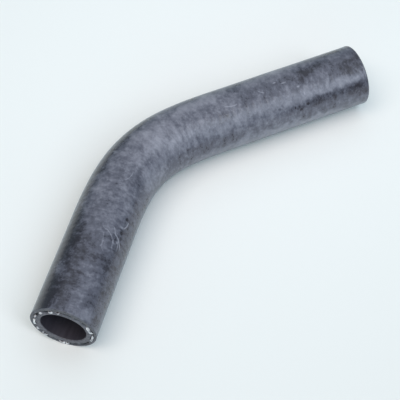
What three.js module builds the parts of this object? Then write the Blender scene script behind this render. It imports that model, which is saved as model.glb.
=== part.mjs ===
// A moulded coolant hose: one rubber tube with a single eased bend and two ends cut square.
// Millimetres, +Z up. It lies on its side on the plane z = 0, with its near arm along +Y, and the origin is on
// that plane, under the middle of its bounding box.
import * as THREE from "three";

// Section: the bore pushes over a 19 mm (3/4 inch) pipe, and both edges of each cut end are slightly broken
const boreDiameter = 19;
const wallThickness = 4.25;
const edgeBreak = 0.4;

// Centreline, as a hose drawing gives it: a leg runs from its cut end to the corner, the point where the two
// straight arms would cross
const nearLeg = 90.5;
const farLeg = 109;
const bendAngle = 50.5; // degrees that the hose turns to the right
const bendReach = 38.5; // from the corner to where each arm leaves the straight
const bendEase = 31; // length of the curve's handles: the longer they are, the tighter the middle of the bend

// Faceting
const sides = 48;
const bendSteps = 28;

const boreRadius = boreDiameter / 2;
const outerRadius = boreRadius + wallThickness;

// The centreline in the plane z = 0, from the near end at the origin to the far end
function makeCentreline() {
  const turn = THREE.MathUtils.degToRad(bendAngle);
  const nearWay = new THREE.Vector3(0, 1, 0);
  const farWay = new THREE.Vector3(Math.sin(turn), Math.cos(turn), 0);
  const corner = nearWay.clone().multiplyScalar(nearLeg);
  const fromCorner = (way, distance) => corner.clone().addScaledVector(way, distance);

  const bendStart = fromCorner(nearWay, -bendReach);
  const bendEnd = fromCorner(farWay, bendReach);
  const line = new THREE.CurvePath();
  line.add(new THREE.LineCurve3(fromCorner(nearWay, -nearLeg), bendStart));
  line.add(
    new THREE.CubicBezierCurve3(
      bendStart,
      fromCorner(nearWay, bendEase - bendReach),
      fromCorner(farWay, bendReach - bendEase),
      bendEnd,
    ),
  );
  line.add(new THREE.LineCurve3(bendEnd, fromCorner(farWay, farLeg)));
  return line;
}

// Distances along the centreline at which the bend's rings of facets stand
function bendStations(line) {
  const [bendStart, bendEnd] = line.getCurveLengths();
  const steps = Array.from({ length: bendSteps + 1 }, (_, step) => step / bendSteps);
  return steps.map((share) => THREE.MathUtils.lerp(bendStart, bendEnd, share));
}

// The wall's outline, closed: x is the distance from the axis and y the distance along the centreline. It goes
// out along the outside and comes back along the bore.
function wallProfile(line) {
  const length = line.getLength();
  const bend = bendStations(line);
  const points = [
    [outerRadius - edgeBreak, 0],
    [outerRadius, edgeBreak],
    ...bend.map((station) => [outerRadius, station]),
    [outerRadius, length - edgeBreak],
    [outerRadius - edgeBreak, length],
    [boreRadius + edgeBreak, length],
    [boreRadius, length - edgeBreak],
    ...bend.toReversed().map((station) => [boreRadius, station]),
    [boreRadius, edgeBreak],
    [boreRadius + edgeBreak, 0],
  ];
  points.push(points[0]);
  return points.map(([radius, station]) => new THREE.Vector2(radius, station));
}

// Carries each vertex of a straight tube about the Y axis to its place round the centreline
function bendAlong(geometry, line) {
  const length = line.getLength();
  const position = geometry.getAttribute("position");
  const up = new THREE.Vector3(0, 0, 1);
  const side = new THREE.Vector3();
  const vertex = new THREE.Vector3();
  for (let i = 0; i < position.count; i++) {
    const across = position.getX(i);
    const height = position.getZ(i);
    const share = THREE.MathUtils.clamp(position.getY(i) / length, 0, 1);
    side.crossVectors(line.getTangent(share), up).normalize();
    vertex.copy(line.getPoint(share)).addScaledVector(side, across).addScaledVector(up, height);
    position.setXYZ(i, vertex.x, vertex.y, vertex.z);
  }
  geometry.computeVertexNormals();
}

// Puts the origin on the resting plane, under the middle of the bounding box
function standOnPlane(geometry) {
  geometry.computeBoundingBox();
  const centre = geometry.boundingBox.getCenter(new THREE.Vector3());
  geometry.translate(-centre.x, -centre.y, -geometry.boundingBox.min.z);
}

function makeHose() {
  const line = makeCentreline();
  const geometry = new THREE.LatheGeometry(wallProfile(line), sides);
  bendAlong(geometry, line);
  standOnPlane(geometry);
  const rubber = new THREE.MeshStandardMaterial({ color: 0x3d4047, roughness: 0.6, metalness: 0 });
  const mesh = new THREE.Mesh(geometry, rubber);
  mesh.name = "coolant_hose";
  return mesh;
}

const hose = new THREE.Group();
hose.add(makeHose());

export default hose;
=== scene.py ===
# The looks of a moulded coolant hose: cured rubber clouded by bloom, painted highlight and painted shade,
# and cut ends with yarn in the wall.
# Metres, +Z up. The hose lies on its side on a pale floor at z = 0.
import math
import random

import bpy
import numpy as np
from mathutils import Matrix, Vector, noise


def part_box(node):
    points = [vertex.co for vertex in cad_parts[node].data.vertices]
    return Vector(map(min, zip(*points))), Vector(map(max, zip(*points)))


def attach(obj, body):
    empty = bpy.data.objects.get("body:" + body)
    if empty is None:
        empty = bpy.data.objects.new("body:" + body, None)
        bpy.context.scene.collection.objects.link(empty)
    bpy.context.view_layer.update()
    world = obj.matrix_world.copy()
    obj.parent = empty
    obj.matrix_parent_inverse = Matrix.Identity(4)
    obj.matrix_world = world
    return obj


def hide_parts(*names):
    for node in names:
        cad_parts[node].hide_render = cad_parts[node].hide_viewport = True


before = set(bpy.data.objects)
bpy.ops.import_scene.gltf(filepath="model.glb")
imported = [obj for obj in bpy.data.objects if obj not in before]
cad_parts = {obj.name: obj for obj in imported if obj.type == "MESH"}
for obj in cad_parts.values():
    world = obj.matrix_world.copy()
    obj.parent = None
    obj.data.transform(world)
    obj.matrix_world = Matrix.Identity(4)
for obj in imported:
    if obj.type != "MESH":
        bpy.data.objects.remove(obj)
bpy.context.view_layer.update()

MM = 0.001

# The hose's own sizes. Its outside and its place come from the solid.
hose_low, hose_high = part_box("coolant_hose")
OUTER_RADIUS = (hose_high.z - hose_low.z) / 2
BORE_RADIUS = 9.5 * MM
NEAR_LEG = 90.5 * MM  # from the near end to the corner where the arms would cross
FAR_LEG = 109 * MM  # from that corner to the far end
BEND_ANGLE = math.radians(50.5)
BEND_REACH = 38.5 * MM  # from the corner to where each arm leaves the straight
BEND_EASE = 31 * MM  # length of the curve's handles
EDGE_ROUND = 0.4 * MM  # on both edges of each cut end

# The yarn layer inside the wall, and the groove that the cut tore along it
YARN_RADIUS = 12.0 * MM  # of the layer, about its own middle
YARN_DROP = 0.6 * MM  # how far that middle lies below the hose's axis
YARN_WIDTH = 1.2 * MM
TEAR_DEPTH = 1.1 * MM  # where the groove is deepest
TEAR_LENGTH = 2.4 * MM  # of the torn stretches
FRAY_LENGTH = 1.1 * MM  # of the nicks in them

# How uneven the surfaces are, and the size of their bumps. The skin never stands above the solid's.
SKIN_WAVE = 0.06 * MM
SKIN_WAVE_SIZE = 16 * MM
SKIN_RIPPLE = 0.02 * MM
SKIN_RIPPLE_SIZE = 3 * MM
CUT_GRAIN = 0.06 * MM
CUT_GRAIN_SIZE = 0.7 * MM

# Fineness of the mesh
SIDES = 192
BEND_POINTS = 401
OUTSIDE_STEP = 0.6 * MM
BORE_STEP = 1.6 * MM
EDGE_STEPS = 4
CUT_RINGS = 22


# Camera

CAMERA_AZIMUTH = math.radians(15.8)
CAMERA_ELEVATION = math.radians(55.3)
CAMERA_DISTANCE = 460 * MM
CAMERA_AIM = Vector((-4.5, -11.9, 13.75)) * MM
CAMERA_LENS = 98  # in millimetres, as is the sensor
CAMERA_SENSOR = 36


def way_from(azimuth, elevation):
    """The direction from the hose towards something beside it. Azimuth 0 is towards -Y, and a quarter turn
    is towards +X."""
    level = math.cos(elevation)
    return Vector((math.sin(azimuth) * level, -math.cos(azimuth) * level, math.sin(elevation)))


def make_camera():
    back = way_from(CAMERA_AZIMUTH, CAMERA_ELEVATION)
    camera = bpy.data.objects.new("camera", bpy.data.cameras.new("camera"))
    camera.data.sensor_width = CAMERA_SENSOR
    camera.data.lens = CAMERA_LENS
    camera.location = CAMERA_AIM + back * CAMERA_DISTANCE
    camera.rotation_mode = "QUATERNION"
    camera.rotation_quaternion = (-back).to_track_quat("-Z", "Y")
    bpy.context.scene.collection.objects.link(camera)
    bpy.context.scene.camera = camera


# Centreline


class Centreline:
    """The hose's axis, at one height: the near arm along +Y, an eased bend to the right, and the far arm.
    Stations are distances along it from the near end."""

    OVERRUN = 5 * MM  # how far it runs on past both ends, for what stands proud of them
    REACH = 0.3 * MM  # to each side of a station, where its direction is taken

    def __init__(self):
        near_way = np.array([0.0, 1.0])
        far_way = np.array([math.sin(BEND_ANGLE), math.cos(BEND_ANGLE)])
        corner = np.array([hose_low.x + OUTER_RADIUS, hose_low.y + NEAR_LEG])
        bend_start = corner - near_way * BEND_REACH
        bend_end = corner + far_way * BEND_REACH
        start_handle = bend_start + near_way * BEND_EASE
        end_handle = bend_end - far_way * BEND_EASE
        share = np.linspace(0, 1, BEND_POINTS)[:, None]
        rest = 1 - share
        bend = (
            bend_start * rest**3
            + start_handle * 3 * rest**2 * share
            + end_handle * 3 * rest * share**2
            + bend_end * share**3
        )
        start = corner - near_way * (NEAR_LEG + self.OVERRUN)
        end = corner + far_way * (FAR_LEG + self.OVERRUN)
        self.points = np.vstack([start, bend, end])
        steps = np.linalg.norm(np.diff(self.points, axis=0), axis=1)
        self.stations = np.concatenate([[0], np.cumsum(steps)]) - self.OVERRUN
        self.length = self.stations[-1] - self.OVERRUN

    def at(self, stations):
        """Points on the axis, and the directions to the right of it."""
        ways = self.between(stations + self.REACH) - self.between(stations - self.REACH)
        ways /= np.linalg.norm(ways, axis=-1, keepdims=True)
        rights = np.stack([ways[..., 1], -ways[..., 0]], -1)
        return self.between(stations), rights

    def between(self, stations):
        columns = [np.interp(stations, self.stations, self.points[:, i]) for i in (0, 1)]
        return np.stack(columns, -1)

    def place(self, straight):
        """Carries points of a straight hose, with its axis along Y, to their places on the bent one."""
        points, rights = self.at(straight[..., 1])
        level = points + rights * straight[..., 0:1]
        height = hose_low.z + OUTER_RADIUS + straight[..., 2:3]
        return np.concatenate([level, height], -1)


centreline = Centreline()


# Hose

OUTSIDE, CUT, BORE = range(3)  # the kinds of surface, in the order of their materials


def make_object(name, points, faces, materials):
    mesh = bpy.data.meshes.new(name)
    mesh.from_pydata(points.tolist(), [], faces.tolist())
    for material in materials:
        mesh.materials.append(material)
    mesh.polygons.foreach_set("use_smooth", [True] * len(mesh.polygons))
    mesh.update()
    made = bpy.data.objects.new(name, mesh)
    bpy.context.scene.collection.objects.link(made)
    return made


def grid_faces(rows, columns):
    """Faces of a grid of vertices that closes on itself both ways."""
    row, column = np.meshgrid(np.arange(rows), np.arange(columns), indexing="ij")
    next_row = (row + 1) % rows
    next_column = (column + 1) % columns
    corners = [
        row * columns + column,
        next_row * columns + column,
        next_row * columns + next_column,
        row * columns + next_column,
    ]
    return np.stack(corners, -1).reshape(-1, 4)


def wall_rings():
    """The closed outline of the wall, as radius, station and kind of surface: out along the outside, across
    the far cut, back along the bore and across the near cut."""
    turn = np.linspace(0, math.pi / 2, EDGE_STEPS + 1)
    inset = EDGE_ROUND * (1 - np.sin(turn))
    depth = EDGE_ROUND * (1 - np.cos(turn))
    straight = centreline.length - 2 * EDGE_ROUND

    def surface(radii, stations, kind):
        radii, stations = np.broadcast_arrays(radii, stations)
        return np.stack([radii, stations, np.full(len(radii), kind)], -1)

    def along(radius, step, kind):
        count = round(straight / step)
        stations = EDGE_ROUND + straight * np.arange(1, count) / count
        return surface(radius, stations, kind)

    radii = np.linspace(BORE_RADIUS + EDGE_ROUND, OUTER_RADIUS - EDGE_ROUND, CUT_RINGS)
    across = surface(radii[1:-1], 0.0, CUT)
    outer_edge = surface(OUTER_RADIUS - inset, depth, CUT)
    bore_edge = surface(BORE_RADIUS + inset, depth, CUT)
    near_cut = np.concatenate([bore_edge[::-1], across, outer_edge])
    far_cut = near_cut[::-1].copy()
    far_cut[:, 1] = centreline.length - far_cut[:, 1]
    outside = along(OUTER_RADIUS, OUTSIDE_STEP, OUTSIDE)
    bore = along(BORE_RADIUS, BORE_STEP, BORE)[::-1]
    return np.concatenate([outside, far_cut, bore, near_cut])


def uneven(points, size):
    """Smooth noise from -1 to 1 at points of the straight hose, with bumps of about the given size."""
    return np.array([noise.noise(Vector(point) / size) for point in points])


def yarn_radius(angle):
    """Distance from the hose's axis to the middle of the yarn layer. The angle is 0 to the right of the way
    along, and a quarter turn at the top."""
    return YARN_RADIUS - YARN_DROP * np.sin(angle)


def torn_share(radius, angle, plain):
    """0 where the cut left the wall whole, and up to 1 where it tore the yarn layer out."""
    layer = np.exp(-(((radius - yarn_radius(angle)) / (YARN_WIDTH / 2)) ** 2))
    ragged = 0.5 + 0.5 * uneven(plain, TEAR_LENGTH) + 0.3 * uneven(plain, FRAY_LENGTH)
    contrast, offset, least = 2.2, 0.55, 0.12
    return layer * np.clip(contrast * ragged - offset, least, 1)


def off_edge(radius):
    """0 on the rims of a cut end and 1 away from them."""
    outside = np.clip((OUTER_RADIUS - radius) / EDGE_ROUND, 0, 1)
    bore = np.clip((radius - BORE_RADIUS) / EDGE_ROUND, 0, 1)
    return outside * bore


def hose_points(rings):
    """Where each point lies on an even, straight hose, where it truly lies and how torn the wall is there."""
    angles = 2 * math.pi * np.arange(SIDES) / SIDES - math.pi / 2
    radius = np.repeat(rings[:, 0], SIDES)
    station = np.repeat(rings[:, 1], SIDES)
    kind = np.repeat(rings[:, 2], SIDES)
    angle = np.tile(angles, len(rings))

    def straight_points():
        return np.stack([radius * np.cos(angle), station, radius * np.sin(angle)], -1)

    plain = straight_points()
    outside = kind == OUTSIDE
    waves = SKIN_WAVE * (uneven(plain[outside], SKIN_WAVE_SIZE) - 1)
    ripples = SKIN_RIPPLE * (uneven(plain[outside], SKIN_RIPPLE_SIZE) - 1)
    radius[outside] += waves + ripples

    cut = kind == CUT
    inward = np.where(station[cut] < centreline.length / 2, 1, -1)
    torn = np.zeros(len(plain))
    torn[cut] = torn_share(radius[cut], angle[cut], plain[cut])
    grain = 0.5 + 0.5 * uneven(plain[cut], CUT_GRAIN_SIZE)
    station[cut] += inward * off_edge(radius[cut]) * (TEAR_DEPTH * torn[cut] + CUT_GRAIN * grain)
    return plain, centreline.place(straight_points()), torn


def face_kinds(rings):
    """The kind of surface between each ring and the next."""
    kind = rings[:, 2].astype(int)
    next_kind = np.roll(kind, -1)
    beside_bore = (kind == BORE) | (next_kind == BORE)
    return np.where(beside_bore, BORE, np.minimum(kind, next_kind))


def keep_straight(mesh, plain, faces):
    """Keeps where each point lay on the straight hose: as an attribute in three directions, and as a UV map
    that gives the distance round from the top and the distance from the near end."""
    straight = mesh.attributes.new("straight", "FLOAT_VECTOR", "POINT")
    straight.data.foreach_set("vector", plain.astype(np.float32).ravel())
    corners = plain[faces]
    angle = np.arctan2(corners[..., 0], corners[..., 2])
    middle = angle[:, :1]
    angle = middle + (angle - middle + math.pi) % (2 * math.pi) - math.pi
    skin = np.stack([angle * OUTER_RADIUS, corners[..., 1]], -1)
    uv = mesh.uv_layers.new(name="skin")
    uv.uv.foreach_set("vector", skin.astype(np.float32).ravel())


def make_hose(skin, cut, bore):
    rings = wall_rings()
    plain, points, torn = hose_points(rings)
    faces = grid_faces(len(rings), SIDES)
    hose = make_object("coolant_hose_rubber", points, faces, [skin, cut, bore])
    hose.data.polygons.foreach_set("material_index", np.repeat(face_kinds(rings), SIDES))
    keep_straight(hose.data, plain, faces)
    hose.data.attributes.new("torn", "FLOAT", "POINT").data.foreach_set("value", torn.astype(np.float32))
    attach(hose, "root")
    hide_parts("coolant_hose")


# Yarn ends

# The ends that show: angle in degrees (0 right, 90 top, seen from the near end), then length and width in mm
NEAR_YARN = [
    (16, 4.8, 1.2),
    (343, 4.6, 0.7),
    (95, 1.5, 0.5),
    (111, 2.0, 0.8),
    (137, 1.2, 0.7),
    (162, 1.0, 0.5),
    (185, 3.6, 0.8),
    (206, 1.6, 0.6),
    (226, 2.8, 1.0),
    (262, 2.4, 1.0),
    (272, 1.1, 0.8),
]

# The far end's, spread evenly
FAR_YARN_COUNT = 14
FAR_YARN_STRAY = 0.3  # share of the step between them
FAR_YARN_LENGTH = (1.2, 3.2)  # shortest and longest, in mm
FAR_YARN_WIDTH = (0.5, 1.0)  # in mm

# Each end is a bundle of filaments, whose sizes are in mm
FILAMENTS = 12
FILAMENT_RADIUS = (0.12, 0.19)
FILAMENT_TOP = (0.0, 0.22)  # how far its middle line stands proud of the cut, where it is highest
FILAMENT_DIP = 0.6  # from there down to where it ends in the groove
FILAMENT_STRAY = 0.2  # of its ends, both along the layer and across it
FILAMENT_ARCH = 0.4  # power of the arch that it makes: the smaller, the flatter its top
FILAMENT_ROWS = 9
FILAMENT_SIDES = 6


def far_yarn(seed):
    draw = random.Random(seed)
    step = 360 / FAR_YARN_COUNT
    ends = []
    for i in range(FAR_YARN_COUNT):
        angle = step * (i + draw.uniform(-FAR_YARN_STRAY, FAR_YARN_STRAY))
        ends.append((angle, draw.uniform(*FAR_YARN_LENGTH), draw.uniform(*FAR_YARN_WIDTH)))
    return ends


def make_yarn(name, station, inward, ends, material, seed):
    """Cut ends of the yarn in one end's wall. Inward is 1 or -1, the way along the hose into the wall."""
    draw = random.Random(seed)
    points = []
    faces = []

    def stray():
        return draw.uniform(-FILAMENT_STRAY, FILAMENT_STRAY)

    for angle, length, width in ends:
        middle = math.radians(angle)
        for _ in range(FILAMENTS):
            radius = yarn_radius(middle) + draw.uniform(-0.5, 0.5) * width * MM
            start = middle - (0.5 * length + stray()) * MM / radius
            end = middle + (0.5 * length + stray()) * MM / radius
            splay = stray() * MM
            top = draw.uniform(*FILAMENT_TOP) * MM
            thick = draw.uniform(*FILAMENT_RADIUS) * MM
            faces.extend(filament_faces(len(points), inward))
            for out, down, turn in filament_points(radius, start, end, splay, top, thick):
                points.append((out * math.cos(turn), station + inward * down, out * math.sin(turn)))
    made = make_object(name, centreline.place(np.array(points)), np.array(faces), [material])
    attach(made, "root")


def filament_points(radius, start, end, splay, top, thick):
    """Points of one filament, a thin tube that comes up out of the groove, crosses it and dips in again:
    distance from the axis, depth below the cut, and angle."""
    for row in range(FILAMENT_ROWS):
        share = row / (FILAMENT_ROWS - 1)
        angle = start + (end - start) * share
        rise = math.sin(math.pi * share) ** FILAMENT_ARCH
        depth = FILAMENT_DIP * MM * (1 - rise) - top
        reach = radius + splay * (share - 0.5) * 2
        for side in range(FILAMENT_SIDES):
            turn = 2 * math.pi * side / FILAMENT_SIDES
            yield reach + thick * math.cos(turn), depth + thick * math.sin(turn), angle


def filament_faces(base, inward):
    """Faces of a filament whose points start at the given place in the list."""
    for row in range(FILAMENT_ROWS - 1):
        for side in range(FILAMENT_SIDES):
            here = base + row * FILAMENT_SIDES
            above = here + FILAMENT_SIDES
            after = (side + 1) % FILAMENT_SIDES
            corners = [here + side, above + side, above + after, here + after]
            yield corners if inward > 0 else corners[::-1]


# Building materials from nodes


def linear(shade):
    """A colour as it looks on a screen, from 0 to 255, made linear by the sRGB curve."""
    parts = [part / 255 for part in shade]
    return tuple(part / 12.92 if part <= 0.04045 else ((part + 0.055) / 1.055) ** 2.4 for part in parts)


class Nodes:
    """Adds a material's nodes and joins them. An input is a number, a tuple or another node's output."""

    def __init__(self, name):
        self.material = bpy.data.materials.new(name)
        self.material.use_nodes = True
        self.tree = self.material.node_tree
        self.shader = self.tree.nodes["Principled BSDF"]

    def feed(self, socket, value):
        if isinstance(value, bpy.types.NodeSocket):
            self.tree.links.new(value, socket)
        else:
            socket.default_value = value

    def finish(self, looks):
        """Gives the shader its inputs, and returns the material."""
        for name, value in looks.items():
            self.feed(self.shader.inputs[name], value)
        return self.material

    def add(self, kind, inputs, **settings):
        node = self.tree.nodes.new(kind)
        for name, value in settings.items():
            setattr(node, name, value)
        for socket, value in inputs.items():
            self.feed(node.inputs[socket], value)
        return node

    def math(self, operation, a, b=0.0):
        return self.add("ShaderNodeMath", {0: a, 1: b}, operation=operation).outputs[0]

    def scaled(self, value, factor):
        return self.math("MULTIPLY", value, factor)

    def total(self, *terms):
        whole = terms[0]
        for term in terms[1:]:
            whole = self.math("ADD", whole, term)
        return whole

    def vector(self, operation, a, b=(0, 0, 0)):
        node = self.add("ShaderNodeVectorMath", {0: a, 1: b}, operation=operation)
        return node.outputs["Value" if operation in ("LENGTH", "DOT_PRODUCT") else "Vector"]

    def level(self, value):
        """A vector with the same number three times."""
        return self.add("ShaderNodeCombineXYZ", {0: value, 1: value, 2: value}).outputs["Vector"]

    def swing(self, value, strength):
        """Turns 0 to 1 into -strength / 2 to strength / 2."""
        return self.scaled(self.math("SUBTRACT", value, 0.5), strength)

    def span(self, value, start, end, low=0.0, high=1.0):
        """Goes smoothly from low, where the value is start, to high, where it is end."""
        inputs = {"Value": value, "From Min": start, "From Max": end, "To Min": low, "To Max": high}
        return self.add("ShaderNodeMapRange", inputs, interpolation_type="SMOOTHSTEP").outputs[0]

    def ramp(self, value, shades):
        """The colour at a value, between shades that are each given with their own value."""
        node = self.add("ShaderNodeValToRGB", {"Fac": value})
        elements = node.color_ramp.elements
        while len(elements) < len(shades):
            elements.new(1.0)
        for element, (position, shade) in zip(elements, shades):
            element.position = position
            element.color = (*linear(shade), 1)
        return node.outputs["Color"]

    def mix(self, share, a, b):
        node = self.add("ShaderNodeMix", {"Factor": share, "A": a, "B": b}, data_type="RGBA")
        return node.outputs["Result"]

    def bump(self, height):
        """The surface's direction, where it stands a height in metres off its mesh."""
        return self.add("ShaderNodeBump", {"Height": height, "Distance": 1.0}).outputs["Normal"]

    # Coordinates, all in millimetres

    def in_mm(self, coords):
        return self.vector("MULTIPLY", coords, (1 / MM, 1 / MM, 1 / MM))

    def straight(self):
        """Where the point lay on the straight hose."""
        node = self.add("ShaderNodeAttribute", {}, attribute_name="straight")
        return self.in_mm(node.outputs["Vector"])

    def skin(self):
        """How far round from the top, and how far from the near end."""
        return self.in_mm(self.add("ShaderNodeUVMap", {}, uv_map="skin").outputs["UV"])

    def object_place(self):
        return self.in_mm(self.add("ShaderNodeTexCoord", {}).outputs["Object"])

    def squeezed(self, straight, factor):
        """Coordinates in which features are shorter along the hose by a factor, or longer below 1."""
        return self.vector("MULTIPLY", straight, (1, factor, 1))

    def noise(self, coords, size, detail=2.0, roughness=0.5):
        """Noise from 0 to 1, with features of about the given size."""
        inputs = {"Vector": coords, "Scale": 1 / size, "Detail": detail, "Roughness": roughness}
        return self.add("ShaderNodeTexNoise", inputs).outputs["Fac"]

    def drift(self, coords, size):
        """A shift of up to 0.5 each way, which changes from place to place."""
        node = self.add("ShaderNodeTexNoise", {"Vector": coords, "Scale": 1 / size, "Detail": 3.0})
        return self.vector("SUBTRACT", node.outputs["Color"], (0.5, 0.5, 0.5))

    def drifted(self, coords, drift, reach):
        return self.vector("ADD", coords, self.vector("MULTIPLY", drift, (reach, reach, 0)))


# Marks on the outside

# Patches: station in mm, angle in degrees (0 right of the way along, 90 the top, 180 left), half-length along
# and half-length round in mm, and how much lighter or darker the bloom is there. Some are bloom and many are
# painted light: light ones along the band at about 40 to 80 degrees are painted highlight, light ones at
# about
# 100 to 120 degrees are painted light on the upper left side, dark ones at about 20 to 35 degrees are painted
# shade below the highlight, dark ones on the left flank at about 120 to 145 degrees are partly painted shade,
# and light ones low on the right flank are painted reflection of the floor
PATCHES = [
    # Near arm
    (3, 22, 5, 4.0, -0.36),
    (3, 48, 5, 5.0, 0.34),
    (5, 132, 13, 6.0, -0.80),
    (6, 108, 9, 5.0, -0.12),
    (13, 38, 8, 3.0, -0.10),
    (18, 102, 26, 8.0, -0.36),
    (20, 128, 4, 4.0, 0.14),
    (22, 140, 30, 5.0, -0.46),
    (24, 28, 22, 7.0, -0.24),
    (26, 58, 10, 6.0, -0.18),
    (30, 82, 10, 6.0, -0.20),
    (34, 124, 16, 6.5, -0.42),
    (37, 50, 5, 3.0, -0.24),
    (38, 96, 8, 5.0, -0.12),
    (40, 8, 40, 4.0, -0.14),
    (44, 132, 10, 5.0, -0.28),
    (48, 34, 18, 4.0, -0.16),
    (48, 120, 10, 4.0, 0.14),
    # Bend
    (52, 142, 30, 4.0, -0.24),
    (54, 42, 10, 4.0, 0.16),
    (54, 60, 16, 6.0, 0.18),
    (58, 98, 10, 6.0, 0.08),
    (66, 90, 6, 5.0, -0.14),
    (66, 104, 16, 6.0, 0.18),
    (66, 132, 34, 5.0, -0.20),
    (76, 74, 10, 6.0, 0.14),
    (79, 32, 15, 7.0, 0.26),
    (80, 50, 8, 4.0, -0.12),
    (84, 14, 10, 4.0, 0.12),
    (88, 130, 18, 5.0, -0.38),
    (90, 76, 14, 5.0, 0.14),
    (96, 66, 26, 9.0, 0.28),
    (96, 104, 28, 6.0, 0.28),
    (106, 40, 26, 4.5, 0.18),
    (108, 76, 10, 5.0, 0.12),
    (108, 76, 7, 4.0, -0.16),
    (112, 22, 24, 2.4, -0.10),
    (117, 74, 6, 5.0, 0.12),
    (120, 108, 18, 6.0, 0.30),
    (124, 32, 16, 4.0, 0.12),
    # Far arm
    (128, 58, 8, 4.0, -0.16),
    (130, 77, 8, 5.0, 0.14),
    (139, 10, 6, 3.0, 0.14),
    (140, -10, 50, 5.0, 0.26),
    (140, 40, 30, 4.0, 0.10),
    (148, 24, 12, 6.0, 0.08),
    (148, 98, 6, 4.0, -0.14),
    (154, 110, 20, 6.0, 0.28),
    (158, 84, 7, 4.0, -0.12),
    (160, 38, 14, 3.5, 0.16),
    (168, 86, 8, 4.0, -0.26),
    (170, 31, 26, 3.4, -0.28),
    (170, 94, 14, 4.0, -0.24),
    (172, -16, 18, 5.0, 0.22),
    (172, 6, 3, 4.0, -0.16),
    (173, 110, 4, 3.0, 0.24),
    (178, 48, 22, 4.0, 0.20),
    (182, 100, 5, 4.0, -0.16),
    (184, 108, 8, 5.0, 0.12),
    (187, 130, 6, 5.0, -0.34),
    (188, 72, 11, 6.0, -0.34),
    (189, 52, 5, 4.0, 0.20),
    (190, 22, 7, 6.0, -0.34),
]

# Flecks, given in the same way
FLECKS = [
    (37.9, 41.5, 0.7, 0.8, 0.5),
    (40.2, 36.0, 0.9, 0.9, -0.4),
    (43.0, 40.0, 1.1, 1.2, -0.35),
    (45.2, 43.0, 0.8, 1.3, 0.35),
    (46.8, 30.5, 1.0, 0.6, -0.5),
    (50.0, 39.5, 1.0, 1.1, -0.7),
    (151.5, 37.0, 1.0, 1.0, -0.3),
    (153.9, 90.5, 1.1, 0.5, 0.6),
    (157.3, 83.0, 1.5, 0.5, 0.5),
    (159.0, 31.5, 0.5, 1.2, -0.6),
    (161.5, 23.5, 1.2, 0.9, -0.5),
    (162.9, 67.7, 1.1, 0.5, 0.4),
    (164.5, 51.3, 0.5, 1.0, 0.4),
    (165.0, 30.0, 1.3, 1.0, -0.5),
]

# Hairline scratches: where each starts and ends, as station in mm and angle in degrees, then how far it bows
# to the right of the way from start to end in mm, its half-width in mm and how much lighter it is
SCRATCHES = [
    ((31.0, 60.0), (36.0, 66.0), -0.6, 0.25, 0.3),
    ((32.0, 68.0), (39.0, 71.0), 0.5, 0.25, 0.3),
    ((38.5, 50.0), (34.0, 46.0), 0.4, 0.30, 0.4),
    ((39.6, 42.0), (34.6, 37.0), -0.3, 0.28, 0.5),
    ((41.2, 54.0), (36.2, 30.5), -0.7, 0.38, 0.8),
    ((41.2, 69.5), (36.0, 46.5), -0.6, 0.35, 0.4),
    ((42.2, 76.0), (40.4, 66.0), 0.3, 0.28, 0.3),
    ((43.6, 58.0), (39.6, 49.0), -0.4, 0.28, 0.4),
    ((45.2, 39.0), (49.4, 33.0), 0.2, 0.38, 0.8),
    ((66.0, 72.0), (72.0, 66.0), 0.8, 0.25, 0.3),
    ((128.0, 76.0), (134.0, 73.0), 0.5, 0.30, 0.4),
    ((145.4, 84.5), (147.6, 75.5), 0.3, 0.30, 0.4),
]


def on_skin(station, angle):
    """A place on the outside as the skin map gives it, in millimetres."""
    return Vector((math.radians(90 - angle) * OUTER_RADIUS / MM, station, 0))


def patch(nodes, skin, station, angle, along, around):
    """1 in the middle of an oval patch and 0 outside it."""
    off = nodes.vector("SUBTRACT", skin, tuple(on_skin(station, angle)))
    share = nodes.vector("MULTIPLY", off, (1 / around, 1 / along, 0))
    return nodes.span(nodes.vector("LENGTH", share), 1.0, 0.25)


def scratch(nodes, skin, start, end, bow, width):
    """1 on a hairline arc from one place on the outside to another, and 0 away from it."""
    start, end = on_skin(*start), on_skin(*end)
    middle = (start + end) / 2
    half = (end - start).length / 2
    aside = Vector((end.y - start.y, start.x - end.x, 0)).normalized()
    centre = middle + aside * (bow**2 - half**2) / (2 * bow)
    radius = (half**2 + bow**2) / abs(2 * bow)
    from_centre = nodes.vector("LENGTH", nodes.vector("SUBTRACT", skin, tuple(centre)))
    off_line = nodes.math("ABSOLUTE", nodes.math("SUBTRACT", from_centre, radius))
    on_line = nodes.span(off_line, width, width / 4)
    from_middle = nodes.vector("LENGTH", nodes.vector("SUBTRACT", skin, tuple(middle)))
    return nodes.math("MULTIPLY", on_line, nodes.span(from_middle, half * 1.1, half * 0.7))


def marked(nodes, bloom_and_painted_light, shape, skin, marks):
    """The bloom and its painted light, with marks of one shape on it."""
    for *place, strength in marks:
        bloom_and_painted_light = nodes.math("ADD", bloom_and_painted_light, nodes.scaled(shape(nodes, skin, *place), strength))
    return bloom_and_painted_light


# Rubber of the outside

# How much each part of the pattern lightens or darkens the bloom, which runs from 0 to 1
CLOUD_TONE = 0.40
RAGGED_TONE = 0.90
MOTTLE_TONE = 0.74
STROKES_TONE = 0.27
GRAIN_TONE = 0.75
RIDGES_TONE = 0.06

# How high it stands
MOTTLE_HEIGHT = 0.04 * MM
GRAIN_HEIGHT = 0.03 * MM
RIDGES_HEIGHT = 0.03 * MM

# From one faint ridge of the yarn under the skin to the next, and how far the ridges wander, in mm
RIDGE_PITCH = 3.2
RIDGE_DRIFT = 2.5

# How far the outlines of the marks wander, in mm
PATCH_DRIFT = 7
FINE_MARK_DRIFT = 1.2


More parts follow.
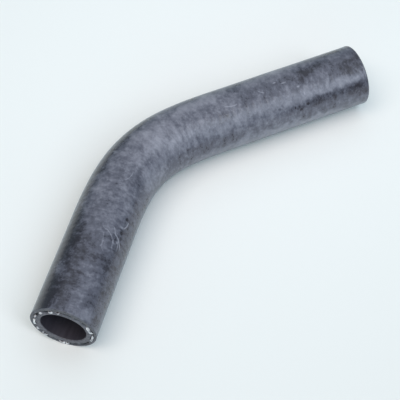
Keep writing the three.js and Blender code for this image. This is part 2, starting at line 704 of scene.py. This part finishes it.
def yarn_ridges(nodes, straight, drift):
    """Ridges across the hose, from -1 to 1, which come and go."""
    along = nodes.vector("DOT_PRODUCT", nodes.drifted(straight, drift, RIDGE_DRIFT), (0, 1, 0))
    wave = nodes.math("SINE", nodes.scaled(along, 2 * math.pi / RIDGE_PITCH))
    broken = nodes.noise(nodes.squeezed(straight, 1.6), size=5, detail=1)
    return nodes.math("MULTIPLY", wave, nodes.span(broken, 0.38, 0.62))


def rubber_skin():
    nodes = Nodes("rubber_skin")
    straight = nodes.straight()
    skin = nodes.skin()
    drift = nodes.drift(straight, size=5)
    cloud = nodes.noise(straight, size=26, detail=3)
    ragged = nodes.noise(nodes.squeezed(straight, 1.2), size=6, detail=4, roughness=0.6)
    mottle = nodes.noise(straight, size=2.2, detail=3, roughness=0.6)
    strokes = nodes.noise(nodes.squeezed(straight, 2.2), size=4.2, detail=2)
    grain = nodes.noise(nodes.squeezed(straight, 1.3), size=1.1, detail=3, roughness=0.65)
    ridges = yarn_ridges(nodes, straight, drift)

    bloom_and_painted_light = nodes.total(0.5, nodes.swing(cloud, CLOUD_TONE), nodes.swing(ragged, RAGGED_TONE))
    # Patches: some are bloom, many are painted highlight, painted shade and painted reflection of the floor
    bloom_and_painted_light = marked(nodes, bloom_and_painted_light, patch, nodes.drifted(skin, drift, PATCH_DRIFT), PATCHES)
    fine = nodes.total(
        nodes.swing(mottle, MOTTLE_TONE),
        nodes.swing(strokes, STROKES_TONE),
        nodes.swing(grain, GRAIN_TONE),
        nodes.scaled(ridges, RIDGES_TONE),
    )
    # The fine pattern fades where the bloom is thick and where highlight is painted
    fineness = nodes.span(bloom_and_painted_light, 0.35, 0.85, low=1.1, high=0.66)
    bloom_and_painted_light = nodes.math("ADD", bloom_and_painted_light, nodes.math("MULTIPLY", fine, fineness))
    shaky = nodes.drifted(skin, drift, FINE_MARK_DRIFT)
    bloom_and_painted_light = marked(nodes, bloom_and_painted_light, patch, shaky, FLECKS)
    bloom_and_painted_light = marked(nodes, bloom_and_painted_light, scratch, shaky, SCRATCHES)

    shades = [(0.0, (43, 34, 42)), (0.5, (89, 87, 99)), (1.0, (139, 137, 148))]
    height = nodes.total(
        nodes.swing(mottle, MOTTLE_HEIGHT),
        nodes.swing(grain, GRAIN_HEIGHT),
        nodes.scaled(ridges, RIDGES_HEIGHT),
    )
    looks = {
        "Base Color": nodes.ramp(bloom_and_painted_light, shades),
        "Roughness": nodes.span(bloom_and_painted_light, 0.1, 0.9, low=0.26, high=0.38),
        "Specular IOR Level": 0.65,
        "Specular Tint": (0.90, 0.97, 1.0, 1),
        "Sheen Weight": 0.09,
        "Sheen Roughness": 0.3,
        "Sheen Tint": (0.35, 0.87, 1.0, 1),
        "Normal": nodes.bump(height),
    }
    return nodes.finish(looks)


# Other materials

# Nearly black: a painted shade in the torn groove of the cut faces
GROOVE_PAINTED_SHADE = (30, 29, 33)


def rubber_cut():
    nodes = Nodes("rubber_cut")
    straight = nodes.straight()
    mottle = nodes.noise(straight, size=1.2, detail=4, roughness=0.65)
    grain = nodes.noise(straight, size=1.0, detail=3, roughness=0.6)
    broad = nodes.noise(straight, size=3.2)

    off_axis = nodes.vector("LENGTH", nodes.vector("MULTIPLY", straight, (1, 0, 1)))
    radius = nodes.math("ADD", off_axis, nodes.swing(mottle, strength=1.4))
    bore, outside = BORE_RADIUS / MM, OUTER_RADIUS / MM
    share = nodes.math("DIVIDE", nodes.math("SUBTRACT", radius, bore), outside - bore)
    shades = [
        (0.00, (84, 82, 89)),
        (0.14, (90, 88, 96)),
        (0.40, (90, 88, 96)),
        (0.70, (76, 75, 82)),
        (0.88, (78, 77, 84)),
        (1.00, (86, 86, 93)),
    ]
    tone = nodes.total(1.0, nodes.swing(grain, strength=1.9), nodes.swing(broad, strength=1.1))
    whole = nodes.vector("MULTIPLY", nodes.ramp(share, shades), nodes.level(tone))
    torn = nodes.add("ShaderNodeAttribute", {}, attribute_name="torn").outputs["Fac"]
    pits = nodes.span(mottle, 0.52, 0.72, low=0.0, high=0.45)
    # Painted shade: the torn groove is coloured nearly black, and the pits add dark flecks at random
    dark = nodes.math("MAXIMUM", nodes.span(torn, 0.15, 0.7), pits)
    looks = {
        "Base Color": nodes.mix(dark, whole, (*linear(GROOVE_PAINTED_SHADE), 1)),
        "Roughness": nodes.span(mottle, 0.3, 0.7, low=0.42, high=0.6),
        "Normal": nodes.bump(nodes.swing(mottle, 0.16 * MM)),
    }
    return nodes.finish(looks)


def rubber_bore():
    nodes = Nodes("rubber_bore")
    streaks = nodes.noise(nodes.squeezed(nodes.straight(), 0.15), size=1.4, detail=3)
    looks = {
        "Base Color": nodes.ramp(streaks, [(0.3, (45, 42, 50)), (0.7, (55, 52, 60))]),
        "Roughness": nodes.span(streaks, 0.3, 0.7, low=0.5, high=0.62),
        "Specular IOR Level": 0.3,
        "Normal": nodes.bump(nodes.swing(streaks, 0.05 * MM)),
    }
    return nodes.finish(looks)


def yarn_white():
    nodes = Nodes("yarn_white")
    dirt = nodes.noise(nodes.object_place(), size=2.2, detail=3, roughness=0.6)
    shades = [(0.34, (104, 103, 110)), (0.50, (190, 187, 191)), (0.68, (244, 240, 240))]
    return nodes.finish({"Base Color": nodes.ramp(dirt, shades), "Roughness": 0.8})


# Floor

FLOOR_HALF = 6.0  # half its width, in metres

# Painted light: a pool of light painted on the floor, and painted falloff around it. Its palest place, behind
# the hose, then its shades and how far each lies from there, in mm
FLOOR_PALEST = (20, 80, 0)
FLOOR_SHADES = [(25, (248, 248, 246)), (210, (236, 236, 234)), (500, (186, 191, 195))]

# It also darkens a little from left to right, a painted falloff of the light, within this distance of the
# hose's middle, in mm
FLOOR_TURN = 150
FLOOR_RIGHT_TONE = 0.94


def make_floor():
    nodes = Nodes("floor")
    place = nodes.object_place()
    # Painted light: the floor is palest behind the hose and its painted shade grows with distance and to the
    # right
    away = nodes.vector("LENGTH", nodes.vector("SUBTRACT", place, FLOOR_PALEST))
    furthest = FLOOR_SHADES[-1][0]
    shades = [(distance / furthest, shade) for distance, shade in FLOOR_SHADES]
    shade = nodes.ramp(nodes.math("DIVIDE", away, furthest), shades)
    across = nodes.vector("DOT_PRODUCT", place, (1, 0, 0))
    tone = nodes.span(across, -FLOOR_TURN, FLOOR_TURN, low=1.0, high=FLOOR_RIGHT_TONE)
    looks = {
        "Base Color": nodes.vector("MULTIPLY", shade, nodes.level(tone)),
        "Roughness": 0.8,
        "Specular IOR Level": 0.2,
    }
    corners = np.array([(-1, -1, 0), (1, -1, 0), (1, 1, 0), (-1, 1, 0)]) * FLOOR_HALF
    floor = make_object("floor", corners, np.array([[0, 1, 2, 3]]), [nodes.finish(looks)])


# Light

LAMP_DISTANCE = 4.0
WARM = (1.0, 0.84, 0.765)
COOL = (0.84, 0.87, 0.98)
TEAL = (0.45, 0.88, 1.0)
ROOM_COLOUR = (0.50, 0.88, 1.0, 1)
ROOM_STRENGTH = 0.345


def softbox(name, azimuth, elevation, width, height, power, colour):
    """A rectangular lamp that faces the hose. Angles are in degrees, sizes in metres and power in watts."""
    way = way_from(math.radians(azimuth), math.radians(elevation))
    lamp = bpy.data.lights.new(name, "AREA")
    lamp.shape = "RECTANGLE"
    lamp.size = width
    lamp.size_y = height
    lamp.energy = power
    lamp.color = colour
    made = bpy.data.objects.new(name, lamp)
    made.location = way * LAMP_DISTANCE
    made.rotation_mode = "QUATERNION"
    made.rotation_quaternion = way.to_track_quat("Z", "Y")
    bpy.context.scene.collection.objects.link(made)


def make_lights():
    softbox("overhead_softbox", azimuth=-15, elevation=66, width=4.2, height=2.6, power=102, colour=WARM)
    softbox("right_softbox", azimuth=62, elevation=49, width=1.3, height=2.3, power=46, colour=COOL)
    softbox("bend_softbox", azimuth=114, elevation=58, width=1.8, height=1.8, power=12, colour=COOL)
    softbox("front_softbox", azimuth=15, elevation=18, width=3.0, height=1.6, power=27, colour=TEAL)
    softbox("back_softbox", azimuth=195, elevation=58, width=4.4, height=3.0, power=25, colour=COOL)
    world = bpy.data.worlds.new("room")
    world.use_nodes = True
    room = world.node_tree.nodes["Background"]
    room.inputs["Color"].default_value = ROOM_COLOUR
    room.inputs["Strength"].default_value = ROOM_STRENGTH
    bpy.context.scene.world = world


make_camera()
make_hose(rubber_skin(), rubber_cut(), rubber_bore())
yarn = yarn_white()
make_yarn("near_end_yarn", 0.0, 1, NEAR_YARN, yarn, seed=3)
make_yarn("far_end_yarn", centreline.length, -1, far_yarn(seed=7), yarn, seed=5)
make_floor()
make_lights()
bpy.context.scene.view_settings.view_transform = "Standard"
